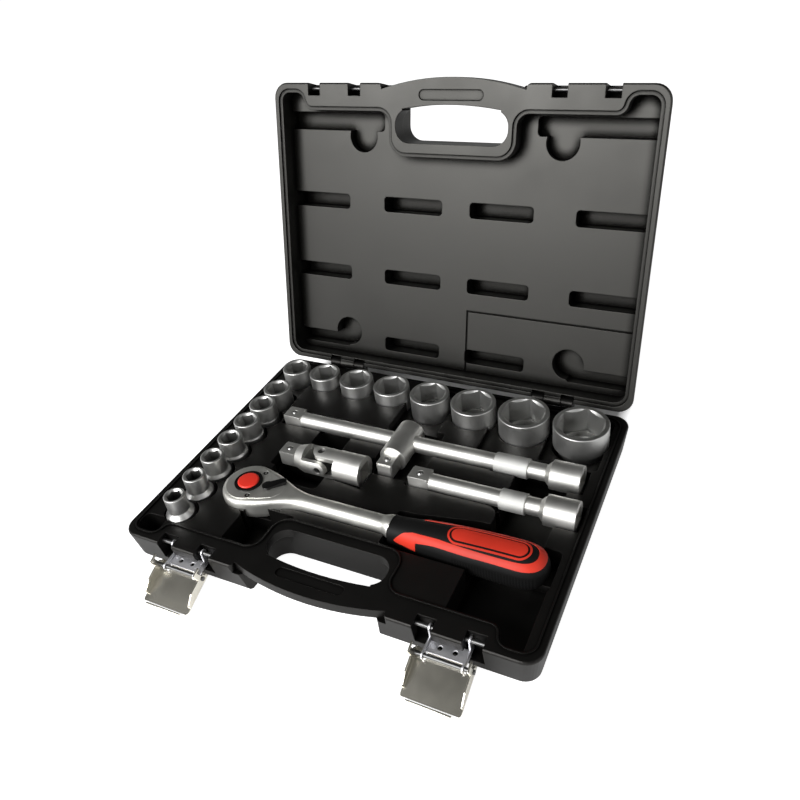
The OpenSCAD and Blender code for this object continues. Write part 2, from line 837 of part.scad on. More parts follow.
gear_top = head_top - 2.7;
gear_low = gear_top - 8;
boss_r = gear_r - 1.1;
hub_r = 9.6;
press = 2.5;
cup_low = head_top - 8;
ball_z = 8;
ball_out = 5.2;
ball_turn = 45;
selector_x = 17.5;
selector_turn = 36;
pawl_reach = 7.8;
cover_r = 17.4;

module at_head() { translate([head_x, head_y, 0]) children(); }

module head_plan(r) {
    circle(r = r);
    a = acos(r / 48) + 6;
    polygon([[0, 0], [r * cos(a), r * sin(a)], [33, r - 10.6], [40, r - 12.7], [50, r - 13.6],
             [50, 13.6 - r], [40, 12.7 - r], [33, 10.6 - r], [r * cos(a), -r * sin(a)]]);
}

module cover_plan() {
    r = cover_r;
    circle(r = r);
    polygon([[0, r], [16, r - 4.4], [26, r - 8.6], [30, 4], [30, -4], [26, 8.6 - r], [16, 4.4 - r], [0, -r]]);
}

module selector_seat() { translate([selector_x, 0, 0]) children(); }

module ratchet_body() {
    color([0.83, 0.84, 0.86])
        at_head() difference() {
            union() {
                translate([0, 0, head_low]) linear_extrude(head_t - 1.2) head_plan(head_r);
                translate([0, 0, head_top - 1.2]) linear_extrude(0.7) head_plan(head_r - 0.6);
                translate([0, 0, head_top - 0.5]) linear_extrude(0.5) head_plan(head_r - 1.4);
                translate([46, 0, shank_z]) rotate([0, 90, 0])
                    cylinder(r = shank_r, h = grip_x - head_x - 46);
            }
            translate([head_len, -30, -20]) cube([60, 60, 20 + shank_z - shank_r]);
            translate([0, 0, head_top - 2.6]) linear_extrude(4) cover_plan();
            translate([0, 0, gear_low - 0.1]) cylinder(r = gear_r + 0.3, h = 20);
            translate([0, 0, gear_low - 0.1]) linear_extrude(20) {
                translate([selector_x, 0]) circle(r = pawl_reach + 1.4);
            }
            translate([0, 0, -1]) cylinder(r = hub_r + RUN, h = 40);
            for (s = [-1, 1]) translate([7.2, s * 12.6, head_top - 9]) cylinder(r = 1.2, h = 9);
        }
}

module ratchet_cover() {
    color([0.86, 0.87, 0.88])
        at_head() difference() {
            translate([0, 0, head_top - 2.6]) linear_extrude(2.6) cover_plan();
            cylinder(r = boss_r + RUN, h = 60);
            selector_seat() cylinder(r = 3 + RUN, h = 60);
            for (s = [-1, 1]) translate([7.2, s * 12.6, head_top - 1]) cylinder(r = 1.9, h = 3);
            for (s = [-1, 1]) translate([7.2, s * 12.6, 0]) cylinder(r = 1.2, h = 60);
        }
}

module cover_screws() {
    color([0.12, 0.12, 0.13])
        at_head() for (s = [-1, 1]) translate([7.2, s * 12.6, 0]) difference() {
            union() {
                translate([0, 0, head_top - 9]) cylinder(r = 1.2, h = 9);
                translate([0, 0, head_top - 1]) cylinder(r = 1.9, h = 0.9);
            }
            translate([0, 0, head_top - 0.6]) rotate(30) cylinder(r = 1.1, h = 2, $fn = 6);
        }
}

module drive_gear() {
    step = 360 / gear_teeth;
    half = drive_af / 2;
    color([0.7, 0.71, 0.73])
        at_head() difference() {
            union() {
                translate([0, 0, gear_low])
                    linear_extrude(8)
                        polygon([for (i = [0 : gear_teeth - 1], t = [0, 1])
                            (t == 0 ? gear_r : gear_r - 1)
                                * [cos((i + t / 2) * step), sin((i + t / 2) * step)]]);
                translate([0, 0, head_low + 0.05]) cylinder(r = hub_r, h = gear_low - head_low);
                cylinder_between(boss_r, gear_top - 0.1, head_top + 0.1);
                translate([-half, -half, 3]) cube([drive_af, drive_af, head_low]);
                translate([-half + 0.6, -half + 0.6, 2.5]) cube([drive_af - 1.2, drive_af - 1.2, 1]);
            }
            cylinder_between(button_r + RUN, cup_low, head_top + 2);
            cylinder_between(2.4 + RUN, 4.5, cup_low + 1);
            rotate(ball_turn - 45) translate([2.6, 0, ball_z]) rotate([0, 90, 0])
                cylinder(r = 2 + RUN, h = 10);
            rotate(ball_turn - 45) translate([0, 0, ball_z]) rotate([0, 90, 0])
                cylinder(r = 2 + RUN, h = 3);
        }
}

module cylinder_between(r, z0, z1) {
    translate([0, 0, z0]) cylinder(r = r, h = z1 - z0);
}

module drive_ball() {
    color([0.6, 0.61, 0.63])
        at_head() translate([ball_out, 0, ball_z]) sphere(r = 2);
}

module button_bezel() {
    color([0.05, 0.05, 0.05])
        at_head() difference() {
            cylinder_between(boss_r + 0.7, head_top + 0.1, head_top + 1.1);
            cylinder_between(button_r + 0.1, head_top - 1, head_top + 2);
        }
}

module release_button() {
    color([0.75, 0.05, 0.04])
        at_head() difference() {
            union() {
                cylinder_between(button_r, head_top - 3, head_top + 1.6);
                translate([0, 0, head_top + 1.6])
                    cylinder(r1 = button_r, r2 = button_r - 1, h = 0.7);
                cylinder_between(2.4, ball_z - 0.8, head_top);
            }
            difference() {
                cylinder_between(6.6, head_top - 4, head_top + 0.4);
                cylinder_between(2.4, 0, head_top + 2);
            }
            difference() {
                cylinder_between(3, ball_z + press - 1.4, ball_z + press + 1.4);
                cylinder_between(1.2, 0, head_top);
            }
        }
}

module button_spring() {
    color([0.5, 0.5, 0.52])
        at_head() difference() {
            for (i = [0 : 2]) cylinder_between(5.8 - 0.5 * (i % 2), cup_low + 1.7 * i, cup_low + 1.7 * (i + 1));
            cylinder_between(4.3, cup_low - 1, head_top);
        }
}

module reversing_lever() {
    color([0.06, 0.06, 0.065])
        at_head() selector_seat() {
            cylinder_between(3, gear_top - 0.05, head_top + 0.3);
            cylinder_between(1.8, gear_low, gear_top);
            cylinder_between(4.2, head_top + 0.2, head_top + 2.2);
            translate([0, 0, head_top + 0.2]) rotate(selector_turn)
                linear_extrude(2) {
                    polygon([[0, -3.6], [12, -2.6], [12, 2.6], [0, 3.6]]);
                    translate([12, 0]) circle(r = 2.6);
                }
        }
}

// The pawl on the lever's shaft: two horns, one of them standing just clear of the teeth
module pawl() {
    color([0.5, 0.5, 0.52])
        at_head() selector_seat() rotate(selector_turn / 5)
            translate([0, 0, gear_low + 0.1]) linear_extrude(7.7)
                difference() {
                    union() {
                        circle(r = 3.8);
                        for (a = [140, 220]) rotate(a) {
                            translate([0, -1.6]) square([pawl_reach - 1.5, 3.2]);
                            polygon([[pawl_reach - 1.5, -1.6], [pawl_reach, -0.6], [pawl_reach, 0.6],
                                     [pawl_reach - 1.5, 1.6]]);
                            translate([pawl_reach, 0]) circle(r = 0.6);
                        }
                    }
                    circle(r = 1.8 + RUN);
                }
}

function grip_curve(t) = t < 2 ? 8.6 : grip_r - (grip_r - 8.6) * pow((grip_len - 24 - t) / (grip_len - 26), 2);

module grip_form(g) {
    end = grip_len - 12;
    translate([grip_x, head_y, grip_z]) rotate([0, 90, 0])
        rotate_extrude($fn = 48)
            polygon(concat([[0, 0], [8 + g, 0]],
                [for (i = [0 : 8]) [grip_curve(2 + i / 8 * (end - 14)) + g, 2 + i / 8 * (end - 14)]],
                [for (a = [15 : 15 : 75]) [(grip_r + g) * (0.42 + 0.58 * cos(a)), end - 12 + (24 + g) * sin(a)]],
                [[(grip_r + g) * 0.42, grip_len + g], [0, grip_len + g]]));
}

module grip_core() { color([0.04, 0.04, 0.045]) grip_form(0); }

// The red band round the grip's flanks and end, a moulded skin on the core
module grip_inlay() {
    color([0.7, 0.05, 0.04])
        difference() {
            intersection() {
                grip_form(band_t);
                translate([grip_x + 6, head_y - 30, grip_z + 1.5]) cube([grip_len, 60, 6.5]);
            }
            grip_form(0);
        }
}

case_base();
case_lid();
hinge_pin_left();
hinge_pin_right();
latch_link_left();
latch_lever_left();
link_pin_left();
lever_pin_left();
strike_pin_left();
latch_link_right();
latch_lever_right();
link_pin_right();
lever_pin_right();
strike_pin_right();
socket_10();
socket_11();
socket_12();
socket_13();
socket_14();
socket_15();
socket_16();
socket_17();
socket_19();
socket_21();
socket_22();
socket_24();
socket_27();
socket_30();
socket_32();
ratchet_body();
ratchet_cover();
cover_screws();
button_bezel();
drive_gear();
drive_ball();
release_button();
button_spring();
reversing_lever();
pawl();
grip_core();
grip_inlay();
long_extension();
long_extension_ball();
short_extension();
short_extension_ball();
slide_head();
slide_head_ball();
slide_detent();
joint_socket_yoke();
joint_cross();
joint_drive_yoke();
joint_ball();
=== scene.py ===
"""Looks of a socket wrench set in its hinged case: finishes, moulded halves, tools and studio."""

from __future__ import annotations

import json
import logging
import math
from dataclasses import dataclass, field
from enum import Enum

import bmesh
import bpy
from mathutils import Matrix, Vector

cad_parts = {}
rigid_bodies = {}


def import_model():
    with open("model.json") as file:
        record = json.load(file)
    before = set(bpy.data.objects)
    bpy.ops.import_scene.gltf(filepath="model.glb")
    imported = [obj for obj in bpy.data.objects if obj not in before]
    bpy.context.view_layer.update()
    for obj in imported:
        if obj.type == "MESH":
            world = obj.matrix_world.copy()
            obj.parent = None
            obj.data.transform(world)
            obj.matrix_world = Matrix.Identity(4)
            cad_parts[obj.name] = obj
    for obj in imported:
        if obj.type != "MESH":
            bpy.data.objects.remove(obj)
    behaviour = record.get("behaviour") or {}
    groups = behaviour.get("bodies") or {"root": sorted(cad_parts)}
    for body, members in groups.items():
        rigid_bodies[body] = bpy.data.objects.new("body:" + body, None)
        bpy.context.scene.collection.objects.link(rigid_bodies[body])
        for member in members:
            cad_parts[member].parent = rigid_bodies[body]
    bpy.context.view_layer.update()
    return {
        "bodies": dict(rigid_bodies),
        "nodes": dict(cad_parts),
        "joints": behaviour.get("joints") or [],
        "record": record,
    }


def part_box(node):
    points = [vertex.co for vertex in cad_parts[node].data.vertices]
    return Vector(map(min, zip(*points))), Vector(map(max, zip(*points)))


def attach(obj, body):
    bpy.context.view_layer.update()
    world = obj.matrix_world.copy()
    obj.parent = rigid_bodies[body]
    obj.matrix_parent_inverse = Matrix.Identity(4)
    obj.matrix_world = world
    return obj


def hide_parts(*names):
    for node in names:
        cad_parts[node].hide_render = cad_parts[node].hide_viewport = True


LOG = logging.getLogger("socket_set")
MM = 0.001
WELD = 0.000002


class Slot(str, Enum):
    """The record's material slots."""

    BASE = "base_plastic"
    LID = "lid_plastic"
    LATCH = "latch_steel"
    PIN = "pin_steel"
    SOCKET = "socket_chrome"
    TOOL = "tool_chrome"
    RATCHET = "ratchet_steel"
    DRIVE = "drive_steel"
    INNER = "inner_steel"
    BUTTON = "button_red"
    TRIM = "black_trim"
    SCREW = "screw_black"
    GRIP = "grip_black"
    BAND = "grip_red"


class Extra(str, Enum):
    """Finishes of pieces that look unlike the rest of their slot: a matte knurl, and painted light and
    shade on the links and the cross.
    """

    KNURL = "knurl"
    # Painted light: a lighter, bluer copy of the latch steel for the link plates.
    LIT_LINK = "link"
    # Painted shade: the joint's cross is dark where the yoke ears shade it.
    SHADED_CROSS = "cross"


def sheet(along: int, across: int, half: float = 0.5) -> bmesh.types.BMesh:
    """Makes a flat grid to bend.

    Args:
        along: Cells along X.
        across: Cells along Y.
        half: How far it reaches each way from the origin.

    Returns:
        The grid.
    """
    bm = bmesh.new()
    bmesh.ops.create_grid(bm, x_segments=along, y_segments=across, size=half)
    return bm


class Bench:
    """A material being wired, with one shader and the Object coordinates it reads."""

    USED = (0.3, 0.7)
    SAMPLES = 6

    def __init__(self, name: str) -> None:
        """Starts an empty node material.

        Args:
            name: The material's name.
        """
        self.material = bpy.data.materials.new(name)
        self.material.use_nodes = True
        self.tree = self.material.node_tree
        self.tree.nodes.clear()
        self.out = self.add("ShaderNodeOutputMaterial")
        self.shader = self.add("ShaderNodeBsdfPrincipled")
        self.tree.links.new(self.shader.outputs["BSDF"], self.out.inputs["Surface"])
        self.place = self.add("ShaderNodeTexCoord").outputs["Object"]

    def add(self, kind: str, **settings: object) -> bpy.types.Node:
        """Adds a node.

        Args:
            kind: The node's type name.
            **settings: Properties to set on it.

        Returns:
            The new node.
        """
        node = self.tree.nodes.new(kind)
        for key, value in settings.items():
            setattr(node, key, value)
        return node

    def join(self, source: object, target: bpy.types.NodeSocket) -> None:
        """Links a socket, or sets a plain value.

        Args:
            source: An output socket or a value.
            target: The input socket.
        """
        if isinstance(source, bpy.types.NodeSocket):
            self.tree.links.new(source, target)
        else:
            target.default_value = source

    def stretched(self, scale: tuple[float, float, float]) -> bpy.types.NodeSocket:
        """Scales the coordinates for a pattern that runs one way.

        Args:
            scale: Scale along X, Y and Z.

        Returns:
            The scaled coordinates.
        """
        node = self.add("ShaderNodeMapping")
        self.join(self.place, node.inputs["Vector"])
        node.inputs["Scale"].default_value = scale
        return node.outputs["Vector"]

    def noise(self, scale: float, detail: float = 3.0, where: object = None) -> bpy.types.NodeSocket:
        """Adds a noise pattern.

        Args:
            scale: Cells per metre.
            detail: Octaves.
            where: Coordinates other than the piece's own.

        Returns:
            The pattern, 0 to 1.
        """
        node = self.add("ShaderNodeTexNoise")
        self.join(where or self.place, node.inputs["Vector"])
        node.inputs["Scale"].default_value = scale
        node.inputs["Detail"].default_value = detail
        return node.outputs["Fac"]

    def between(self, value: bpy.types.NodeSocket, low: float, high: float) -> bpy.types.NodeSocket:
        """Maps the used part of a pattern onto a range.

        Args:
            value: The pattern.
            low: What the lower end of the used part becomes.
            high: What its upper end becomes.

        Returns:
            The mapped value.
        """
        node = self.add("ShaderNodeMapRange")
        self.join(value, node.inputs["Value"])
        for key, number in zip(("From Min", "From Max", "To Min", "To Max"), (*self.USED, low, high)):
            node.inputs[key].default_value = number
        return node.outputs["Result"]

    def mix(self, part: object, first: object, second: object) -> bpy.types.NodeSocket:
        """Mixes two colours.

        Args:
            part: Share of the second colour.
            first: Colour or socket at 0.
            second: Colour or socket at 1.

        Returns:
            The mixed colour.
        """
        node = self.add("ShaderNodeMix", data_type="RGBA")
        self.join(part, node.inputs[0])
        self.join(first, node.inputs[6])
        self.join(second, node.inputs[7])
        return node.outputs[2]

    def math(self, work: str, first: object, second: object = 0.0) -> bpy.types.NodeSocket:
        """Does one sum.

        Args:
            work: The operation.
            first: First value or socket.
            second: Second value or socket.

        Returns:
            The result.
        """
        node = self.add("ShaderNodeMath", operation=work)
        self.join(first, node.inputs[0])
        self.join(second, node.inputs[1])
        return node.outputs[0]

    def openness(self, reach: float) -> bpy.types.NodeSocket:
        """Measures how open each point is, for painted shade in the piece's own hollows.

        Args:
            reach: How far a wall may stand off and still shade, in metres.

        Returns:
            The openness, 1 in the open and less in a hollow.
        """
        node = self.add("ShaderNodeAmbientOcclusion", samples=self.SAMPLES, only_local=True)
        node.inputs["Distance"].default_value = reach
        return node.outputs["AO"]

    def relief(self, height: bpy.types.NodeSocket, depth: float, edge: float = 0.0) -> None:
        """Bumps the surface and rounds its edges.

        Args:
            height: The pattern.
            depth: Its depth in metres.
            edge: Radius of the edges in metres, or 0 where the mesh has its own.
        """
        node = self.add("ShaderNodeBump")
        self.join(height, node.inputs["Height"])
        node.inputs["Distance"].default_value = depth
        if edge:
            corner = self.add("ShaderNodeBevel", samples=self.SAMPLES)
            corner.inputs["Radius"].default_value = edge
            self.join(corner.outputs[0], node.inputs["Normal"])
        self.tree.links.new(node.outputs["Normal"], self.shader.inputs["Normal"])


@dataclass(frozen=True)
class Moulded:
    """Moulded plastic: fine grain and faint flow marks, with painted shade in its hollows, where the
    specular level drops.

    The gloss is the index of refraction. The painted shade reach is how far a wall may stand off and
    still lower the specular, in metres, or 0 for none.
    """

    name: str
    colour: tuple[float, float, float]
    rough: float
    grain: float = 0.00001
    scale: float = 1400.0
    edge: float = 0.0008
    gloss: float = 1.55
    tint: tuple[float, float, float] = (1.0, 1.0, 1.0)
    painted_shade_reach: float = 0.0
    painted_shade_power: float = 3.4
    open_specular: float = 0.5

    def build(self) -> bpy.types.Material:
        """Wires the plastic.

        Returns:
            The material.
        """
        bench = Bench(self.name)
        shader = bench.shader
        cloud = bench.noise(22.0, 4.0)
        fine = bench.noise(self.scale, 2.0)
        dark = tuple(0.8 * c for c in self.colour) + (1.0,)
        light = tuple(1.18 * c for c in self.colour) + (1.0,)
        bench.join(bench.mix(bench.between(cloud, 0.0, 1.0), dark, light), shader.inputs["Base Color"])
        bench.join(bench.between(cloud, self.rough - 0.04, self.rough + 0.05), shader.inputs["Roughness"])
        shader.inputs["IOR"].default_value = self.gloss
        shader.inputs["Specular Tint"].default_value = self.tint + (1.0,)
        # Painted shade: ambient occlusion lowers the specular level in the piece's hollows.
        if self.painted_shade_reach:
            openness = bench.math("POWER", bench.openness(self.painted_shade_reach), self.painted_shade_power)
            bench.join(bench.between(openness, 0.0, self.open_specular), shader.inputs["Specular IOR Level"])
        bench.relief(fine, self.grain, self.edge)
        return bench.material


@dataclass(frozen=True)
class Plated:
    """Plated steel: a satin or bright metal with streaks and faint wear, with painted shade that darkens
    its colour in its hollows.

    The painted shade reach is how far a wall may stand off and still darken the colour, in metres, or 0
    for none.
    """

    name: str
    colour: tuple[float, float, float]
    rough: float
    streak: tuple[float, float, float] = (1.0, 1.0, 1.0)
    grain: float = 0.0000012
    edge: float = 0.0002
    painted_shade_reach: float = 0.0
    painted_shade_tone: float = 0.2

    def build(self) -> bpy.types.Material:
        """Wires the metal.

        Returns:
            The material.
        """
        bench = Bench(self.name)
        shader = bench.shader
        shader.inputs["Metallic"].default_value = 1.0
        cloud = bench.noise(60.0, 3.0)
        streaks = bench.noise(2600.0, 1.0, bench.stretched(self.streak))
        dull = tuple(0.93 * c for c in self.colour) + (1.0,)
        bright = tuple(min(1.0, 1.04 * c) for c in self.colour) + (1.0,)
        coat = bench.mix(bench.between(cloud, 0.0, 1.0), dull, bright)
        # Painted shade: ambient occlusion mixes the colour down to a dark tone in the hollows.
        if self.painted_shade_reach:
            shade = tuple(self.painted_shade_tone * c for c in self.colour) + (1.0,)
            coat = bench.mix(bench.between(bench.openness(self.painted_shade_reach), 0.0, 1.0), shade, coat)
        bench.join(coat, shader.inputs["Base Color"])
        bench.join(bench.between(cloud, 0.93 * self.rough, 1.07 * self.rough), shader.inputs["Roughness"])
        bench.relief(streaks, self.grain, self.edge)
        return bench.material


@dataclass(frozen=True)
class Finishes:
    """Every finish of the set, by slot."""

    table: dict[Slot | Extra, Moulded | Plated] = field(default_factory=lambda: {
        # Base and lid: painted shade lowers their specular in their hollows.
        Slot.BASE: Moulded("case_black", (0.0042, 0.004, 0.0038), 0.4, edge=0.0007, gloss=1.4,
                            tint=(1.0, 0.97, 0.93), painted_shade_reach=0.006),
        Slot.LID: Moulded("lid_black", (0.005, 0.0048, 0.0044), 0.42, edge=0.0008, gloss=1.56,
                           tint=(1.0, 0.985, 0.93), painted_shade_reach=0.009),
        Slot.LATCH: Plated("latch_plate", (0.82, 0.79, 0.7), 0.24),
        Slot.PIN: Plated("pin_wire", (0.16, 0.16, 0.16), 0.4, (0.05, 1.0, 1.0)),
        # Sockets: painted shade darkens their colour in their hollows.
        Slot.SOCKET: Plated("socket_satin", (0.72, 0.72, 0.705), 0.42, (1.0, 1.0, 0.05), edge=0.0,
                            painted_shade_reach=0.012),
        Slot.TOOL: Plated("bar_satin", (0.8, 0.795, 0.765), 0.48, (0.06, 1.0, 1.0)),
        Slot.RATCHET: Plated("ratchet_satin", (0.82, 0.815, 0.77), 0.5, (0.06, 1.0, 1.0)),
        Slot.DRIVE: Plated("drive_satin", (0.5, 0.5, 0.5), 0.36),
        Slot.INNER: Plated("inner_steel", (0.5, 0.5, 0.49), 0.4),
        Slot.BUTTON: Moulded("button_red", (0.9, 0.04, 0.022), 0.4, edge=0.0),
        Slot.TRIM: Moulded("trim_black", (0.004, 0.004, 0.004), 0.28, edge=0.0, gloss=1.4),
        Slot.SCREW: Moulded("screw_black", (0.003, 0.003, 0.003), 0.5, edge=0.0, gloss=1.25),
        Slot.GRIP: Moulded("grip_black", (0.004, 0.004, 0.004), 0.6, edge=0.0, gloss=1.33),
        Slot.BAND: Moulded("grip_red", (0.7, 0.04, 0.02), 0.5, edge=0.0, gloss=1.38),
        Extra.KNURL: Plated("knurl_matte", (0.76, 0.76, 0.74), 0.62, edge=0.0),
        # Link plates: painted light, a brighter copy of the latch steel.
        Extra.LIT_LINK: Plated("link_painted_light", (0.93, 0.93, 0.97), 0.5),
        # Joint cross: painted dark to stand for the shade inside the yoke ears.
        Extra.SHADED_CROSS: Plated("cross_painted_shade", (0.1, 0.1, 0.1), 0.35),
    })

    def build(self) -> dict[Slot | Extra, bpy.types.Material]:
        """Makes the materials."""
        return {slot: finish.build() for slot, finish in self.table.items()}


@dataclass
class Studio:
    """Floor, softboxes, world and camera.

    The rows are the camera's right, up and back. The painted shadow under the open lid, where the floor
    doesn't glow and so looks darker, is a strip along X in the floor's frame, in the gap between the lid
    and the base.
    """

    target: Vector = field(default_factory=lambda: Vector((0.0, 0.0, 0.1)))
    camera_at: Vector = field(default_factory=lambda: Vector((0.235539, -0.355670, 0.404892)))
    focal_px: float = 753.167
    picture_px: float = 800.0
    sensor: float = 36.0
    floor_half: float = 12.0
    floor_drop: float = 0.0002
    glow: float = 0.9
    mirrored_glow: float = 0.3
    shadow_strip_half_width: float = 0.140
    shadow_strip_middle: float = 0.137
    shadow_strip_half_depth: float = 0.018
    shadow_strip_fade: float = 0.01
    rows: tuple[tuple[float, float, float], ...] = (
        (0.8942494, 0.4316447, -0.1183252),
        (-0.1741245, 0.5790705, 0.7964660),
        (0.4123089, -0.6916359, 0.5929933),
    )

    def camera(self) -> None:
        """Places the camera."""
        data = bpy.data.cameras.new("camera")
        data.sensor_width = self.sensor
        data.sensor_fit = "HORIZONTAL"
        data.lens = self.sensor * self.focal_px / self.picture_px
        data.clip_start = 0.01
        data.clip_end = 20.0
        cam = bpy.data.objects.new("camera", data)
        bpy.context.scene.collection.objects.link(cam)
        turn = Matrix(self.rows).transposed().to_4x4()
        cam.matrix_world = Matrix.Translation(self.camera_at) @ turn
        bpy.context.scene.camera = cam

    def floor(self) -> None:
        """Lays the pale floor, which glows a little where it is seen or mirrored, except in a painted
        shadow under the open lid.
        """
        mesh = bpy.data.meshes.new("floor")
        bm = sheet(1, 1, self.floor_half)
        bm.to_mesh(mesh)
        bm.free()
        floor = bpy.data.objects.new("floor", mesh)
        bpy.context.scene.collection.objects.link(floor)
        floor.location = (0.0, 0.0, -self.floor_drop)
        bench = Bench("floor_white")
        bench.shader.inputs["Roughness"].default_value = 0.9
        cloud = bench.noise(3.0, 2.0)
        bench.join(bench.mix(cloud, (0.86, 0.86, 0.86, 1.0), (0.9, 0.9, 0.9, 1.0)),
                   bench.shader.inputs["Base Color"])
        glow = bench.add("ShaderNodeEmission")
        # Painted shadow: the glow is kept out of a strip of floor under the open lid.
        bench.join(self.glow_around_painted_shadow(bench), glow.inputs["Strength"])
        path = bench.add("ShaderNodeLightPath")
        both = bench.add("ShaderNodeAddShader")
        bench.tree.links.new(bench.shader.outputs[0], both.inputs[0])
        bench.tree.links.new(glow.outputs[0], both.inputs[1])
        pick = bench.add("ShaderNodeMixShader")
        seen = bench.math("MAXIMUM", path.outputs["Is Camera Ray"], path.outputs["Is Glossy Ray"])
        seen = bench.math("MAXIMUM", seen, path.outputs["Is Transmission Ray"])
        bench.join(seen, pick.inputs[0])
        bench.tree.links.new(bench.shader.outputs[0], pick.inputs[1])
        bench.tree.links.new(both.outputs[0], pick.inputs[2])
        bench.tree.links.new(pick.outputs[0], bench.out.inputs["Surface"])
        mesh.materials.append(bench.material)

    def glow_around_painted_shadow(self, bench: Bench) -> bpy.types.NodeSocket:
        """Paints a shadow on the floor by keeping its glow out of a strip under the open lid, between it
        and the base.

        Args:
            bench: The floor's material.

        Returns:
            The strength of the glow.
        """
        split = bench.add("ShaderNodeSeparateXYZ")
        bench.join(bench.place, split.inputs[0])
        side = bench.math("SUBTRACT", bench.math("ABSOLUTE", split.outputs[0]), self.shadow_strip_half_width)
        deep = bench.math("SUBTRACT", split.outputs[1], self.shadow_strip_middle)
        deep = bench.math("SUBTRACT", bench.math("ABSOLUTE", deep), self.shadow_strip_half_depth)
        away = bench.math("MAXIMUM", side, deep)
        share = bench.math("DIVIDE", away, self.shadow_strip_fade)
        # Mask of the painted shadow strip: 0 inside it, 1 outside.
        clear = bench.math("MINIMUM", bench.math("MAXIMUM", share, 0.0), 1.0)
        path = bench.add("ShaderNodeLightPath")
        strength = bench.between(path.outputs["Is Camera Ray"], self.mirrored_glow, self.glow)
        return bench.math("MULTIPLY", clear, strength)

    def softbox(self, name: str, at: tuple[float, float, float], size: tuple[float, float],
                watts: float) -> None:
        """Hangs one rectangular lamp aimed at the set.

        Args:
            name: The lamp's name.
            at: Its place.
            size: Its width and height.
            watts: Its power.
        """
        data = bpy.data.lights.new(name, "AREA")
        data.shape = "RECTANGLE"
        data.size, data.size_y = size
        data.energy = watts
        lamp = bpy.data.objects.new(name, data)
        bpy.context.scene.collection.objects.link(lamp)
        lamp.location = at
        lamp.rotation_euler = (self.target - Vector(at)).to_track_quat("-Z", "Y").to_euler()

    def world(self) -> None:
        """Sets the surroundings: brighter low down than overhead, and in front than behind."""
        world = bpy.data.worlds.new("studio")
        bpy.context.scene.world = world
        world.use_nodes = True
        tree = world.node_tree
        tree.nodes.clear()
        out = tree.nodes.new("ShaderNodeOutputWorld")
        coord = tree.nodes.new("ShaderNodeTexCoord")
        split = tree.nodes.new("ShaderNodeSeparateXYZ")
        tree.links.new(coord.outputs["Generated"], split.inputs[0])
        ramp = tree.nodes.new("ShaderNodeValToRGB")
        tree.links.new(split.outputs["Z"], ramp.inputs[0])
        ramp.color_ramp.elements[0].position = 0.0
        ramp.color_ramp.elements[0].color = (0.9, 0.9, 0.9, 1)
        ramp.color_ramp.elements[1].position = 0.6
        ramp.color_ramp.elements[1].color = (0.12, 0.12, 0.115, 1)
        back = tree.nodes.new("ShaderNodeMapRange")
        tree.links.new(split.outputs["Y"], back.inputs[0])
        for key, number in zip(("From Min", "From Max", "To Min", "To Max"), (-0.5, 0.6, 0.8, 0.35)):
            back.inputs[key].default_value = number
        light = tree.nodes.new("ShaderNodeBackground")
        tree.links.new(ramp.outputs[0], light.inputs[0])
        tree.links.new(back.outputs[0], light.inputs[1])
        tree.links.new(light.outputs[0], out.inputs[0])

    def build(self) -> None:
        """Sets up the whole studio."""
        bpy.context.scene.view_settings.view_transform = "Standard"
        self.camera()
        self.floor()
        self.world()
        self.softbox("front_softbox", (-0.5, -1.25, 0.85), (1.2, 0.8), 30.0)
        self.softbox("right_softbox", (1.3, -0.2, 0.8), (0.6, 0.8), 2.0)


SOFTENED = (
    ("left_latch_plate", "latch_lever_left", 0.25 * MM),
    ("right_latch_plate", "latch_lever_right", 0.25 * MM),
    # The links take the painted-light finish.
    ("left_latch_link", "latch_link_left", 0.2 * MM, Extra.LIT_LINK),
    ("right_latch_link", "latch_link_right", 0.2 * MM, Extra.LIT_LINK),
    ("long_bar", "long_extension", 0.3 * MM),
    ("short_bar", "short_extension", 0.3 * MM),
    ("sliding_head", "slide_head", 0.4 * MM),
    ("male_yoke", "joint_drive_yoke", 0.0),
    ("female_yoke", "joint_socket_yoke", 0.0),
    # The cross takes the painted-shade finish.
    ("yoke_cross", "joint_cross", 0.0, Extra.SHADED_CROSS),
)


